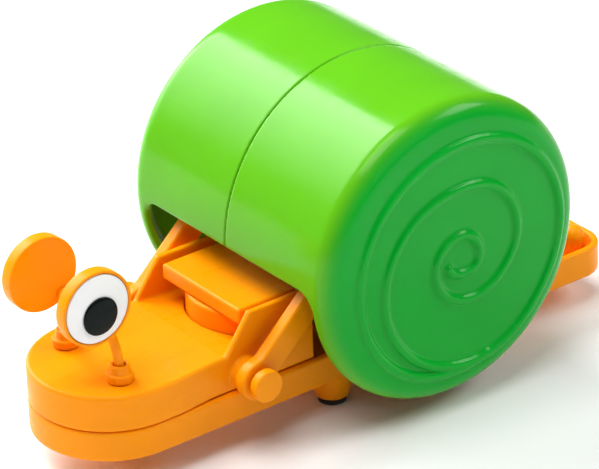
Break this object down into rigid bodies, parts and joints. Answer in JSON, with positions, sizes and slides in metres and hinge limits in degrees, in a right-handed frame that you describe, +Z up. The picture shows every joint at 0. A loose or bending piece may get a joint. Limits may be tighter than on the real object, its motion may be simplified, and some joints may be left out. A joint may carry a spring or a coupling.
{
  "type": "desk tape dispenser",
  "caption": "Snail-shaped desk tape dispenser: a spiral-sided shell on swinging arms holds the tape spool over a long low body with a sprung deck and disc eyes on stalks.",
  "frame": {"origin": "on the desk surface, under the middle of the object's overall box", "axes": "+Z up, -Y towards the snail's head, +Y towards its tail, X along the shell's axis and the tape spool's axle"},
  "size_m": [0.052, 0.1033, 0.0525],
  "materials": {
    "orange_plastic": "glossy injection moulded",
    "green_plastic": "glossy injection moulded",
    "eye_white": "glossy",
    "eye_black": "glossy",
    "black_rubber": "matt",
    "screw_steel": "zinc plated",
    "ballast_steel": "sheared plate",
    "spring_steel": "drawn wire",
    "core_card": "grey-brown core tube",
    "tape_film": "wound matt film tape"
  },
  "bodies": {
    "base": {"base_tray": "orange_plastic", "sole_front": "black_rubber", "sole_mid_right": "black_rubber", "sole_mid_left": "black_rubber", "sole_rear_right": "black_rubber", "sole_rear_left": "black_rubber", "screw_front_right": "screw_steel", "screw_front_left": "screw_steel", "screw_rear_right": "screw_steel", "screw_rear_left": "screw_steel", "ballast_disc": "ballast_steel", "tail_post_right": "orange_plastic", "tail_post_left": "orange_plastic", "upper_body": "orange_plastic", "eye_socket_right": "orange_plastic", "eye_socket_left": "orange_plastic", "pivot_pin_right": "orange_plastic", "pivot_pin_left": "orange_plastic", "deck_spring": "spring_steel"},
    "deck": {"deck_plate": "orange_plastic", "deck_plunger": "orange_plastic"},
    "carrier": {"arm_right": "orange_plastic", "arm_left": "orange_plastic", "shell_right": "green_plastic", "shell_left": "green_plastic"},
    "spool": {"spool_hub": "orange_plastic", "tape_core": "core_card", "tape_roll": "tape_film"},
    "eye_right": {"eye_stalk_right": "orange_plastic", "eye_disc_right": "orange_plastic", "eye_white_right": "eye_white", "eye_pupil_right": "eye_black"},
    "eye_left": {"eye_stalk_left": "orange_plastic", "eye_disc_left": "orange_plastic", "eye_white_left": "eye_white", "eye_pupil_left": "eye_black"}
  },
  "joints": [
    {"name": "carrier_swing", "type": "hinge", "parent": "base", "child": "carrier", "pos_m": [0, -0.0226, 0.0129], "axis": [1, 0, 0], "range_deg": [0, 45]},
    {"name": "spool_spin", "type": "hinge", "parent": "carrier", "child": "spool", "pos_m": [0, 0.0087, 0.0275], "axis": [1, 0, 0], "continuous": true},
    {"name": "deck_press", "type": "slide", "parent": "base", "child": "deck", "axis": [0, 0, -1], "range_m": [0, 0.0016], "stiffness_N_per_m": 600, "springref_m": -0.001, "deforming": ["deck_spring"]},
    {"name": "eye_right_turn", "type": "hinge", "parent": "base", "child": "eye_right", "pos_m": [0.0071, -0.0418, 0.019], "axis": [0, 0, 1], "range_deg": [-25, 25]},
    {"name": "eye_left_turn", "type": "hinge", "parent": "base", "child": "eye_left", "pos_m": [-0.0071, -0.0418, 0.019], "axis": [0, 0, 1], "range_deg": [-25, 25]}
  ]
}
